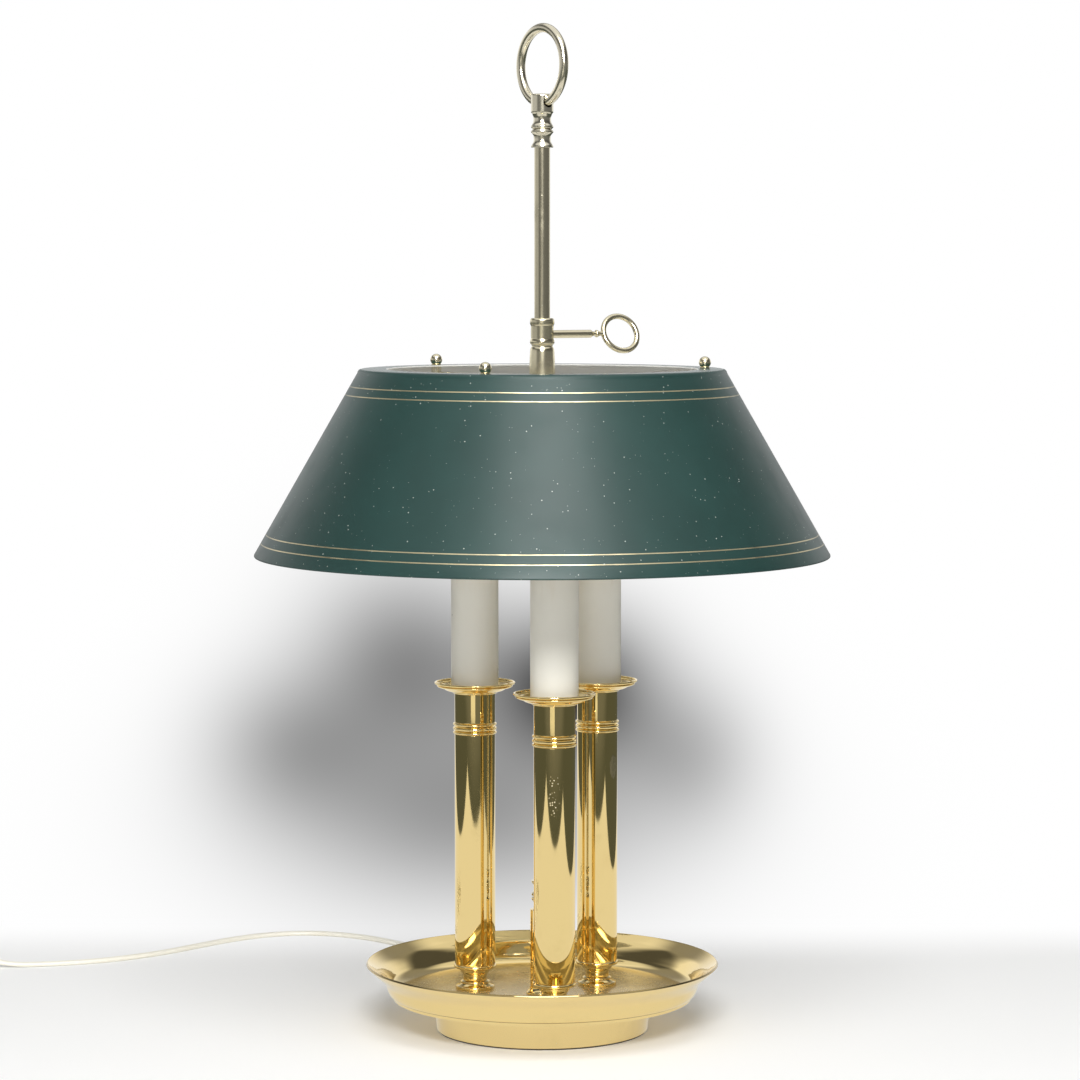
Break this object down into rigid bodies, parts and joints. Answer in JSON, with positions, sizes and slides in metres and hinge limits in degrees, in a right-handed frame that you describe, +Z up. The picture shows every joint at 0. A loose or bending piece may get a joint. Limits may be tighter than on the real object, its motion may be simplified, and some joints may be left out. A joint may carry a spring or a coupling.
{
  "type": "bouillotte lamp",
  "caption": "Brass table lamp with candle columns on a weighted dish, and a painted metal shade that slides on a central rod and is held by a thumb key.",
  "frame": {"origin": "on the rod's axis at table level, under the felt", "axes": "+Z up the rod, the front of the lamp (the side pictured) towards -Y, +X to the viewer's right"},
  "size_m": [0.6978, 0.5003, 0.6248],
  "materials": {
    "felt": "dark felt",
    "pale_brass": "polished, seen in the white floor",
    "iron": "as cast, hidden in the foot",
    "dish_brass": "polished, with a dull dusty floor",
    "black_rubber": "moulded",
    "cord": "soft cream plastic",
    "white_plastic": "smooth, ivory",
    "zinc": "plated",
    "brass": "highly polished",
    "rod_brass": "polished",
    "pan_brass": "polished",
    "shade_paint": "satin blue-green with gilt lines, white inside",
    "wire": "plastic insulation",
    "candle": "cream, slightly yellowed at the top",
    "nickel": "plated",
    "lamp_glass": "pearl glass"
  },
  "bodies": {
    "lamp": {"felt_pad": "felt", "foot_ring": "pale_brass", "base_weight": "iron", "base_dish": "dish_brass", "cord_grommet": "black_rubber", "inner_lead": "cord", "terminal_block": "white_plastic", "base_nuts": "zinc", "centre_post": "brass", "post_collar": "brass", "rod": "rod_brass", "finial": "rod_brass", "finial_ring": "rod_brass", "supply_cord": "cord", "switch_lower": "white_plastic", "switch_upper": "white_plastic", "switch_cord": "cord", "cord_coil": "cord", "plug_body": "white_plastic", "plug_pins": "nickel", "pedestal_1": "brass", "pedestal_2": "brass", "pedestal_3": "brass", "column_tube_1": "brass", "column_tube_2": "brass", "column_tube_3": "brass", "column_beads_1": "brass", "column_beads_2": "brass", "column_beads_3": "brass", "column_cup_1": "brass", "column_cup_2": "brass", "column_cup_3": "brass", "drip_pan_1": "pan_brass", "drip_pan_2": "pan_brass", "drip_pan_3": "pan_brass", "tie_tube_1": "zinc", "tie_tube_2": "zinc", "tie_tube_3": "zinc", "inner_wire_1": "wire", "inner_wire_2": "wire", "inner_wire_3": "wire", "lampholder_1": "white_plastic", "lampholder_2": "white_plastic", "lampholder_3": "white_plastic", "candle_sleeve_1": "candle", "candle_sleeve_2": "candle", "candle_sleeve_3": "candle", "lamp_cap_1": "nickel", "lamp_cap_2": "nickel", "lamp_cap_3": "nickel", "lamp_glass_1": "lamp_glass", "lamp_glass_2": "lamp_glass", "lamp_glass_3": "lamp_glass"},
    "shade_slider": {"shade_sleeve": "rod_brass", "hub_nut": "rod_brass"},
    "shade": {"shade_shell": "shade_paint", "shade_spider": "rod_brass", "ball_nuts": "brass"},
    "key": {"shade_key": "rod_brass"},
    "rocker": {"switch_rocker": "white_plastic"}
  },
  "joints": [
    {"name": "shade_slide", "type": "slide", "parent": "lamp", "child": "shade_slider", "axis": [0, 0, 1], "range_m": [-0.03, 0.104]},
    {"name": "shade_turn", "type": "hinge", "parent": "shade_slider", "child": "shade", "pos_m": [0, 0, 0.4066], "axis": [0, 0, 1], "continuous": true},
    {"name": "key_turn", "type": "hinge", "parent": "shade_slider", "child": "key", "pos_m": [0, 0, 0.4341], "axis": [0.891, 0.454, 0], "range_deg": [0, 360]},
    {"name": "rocker_tip", "type": "hinge", "parent": "lamp", "child": "rocker", "pos_m": [-0.423, 0.2, 0.0155], "axis": [0, 1, 0], "range_deg": [-16, 0]}
  ]
}
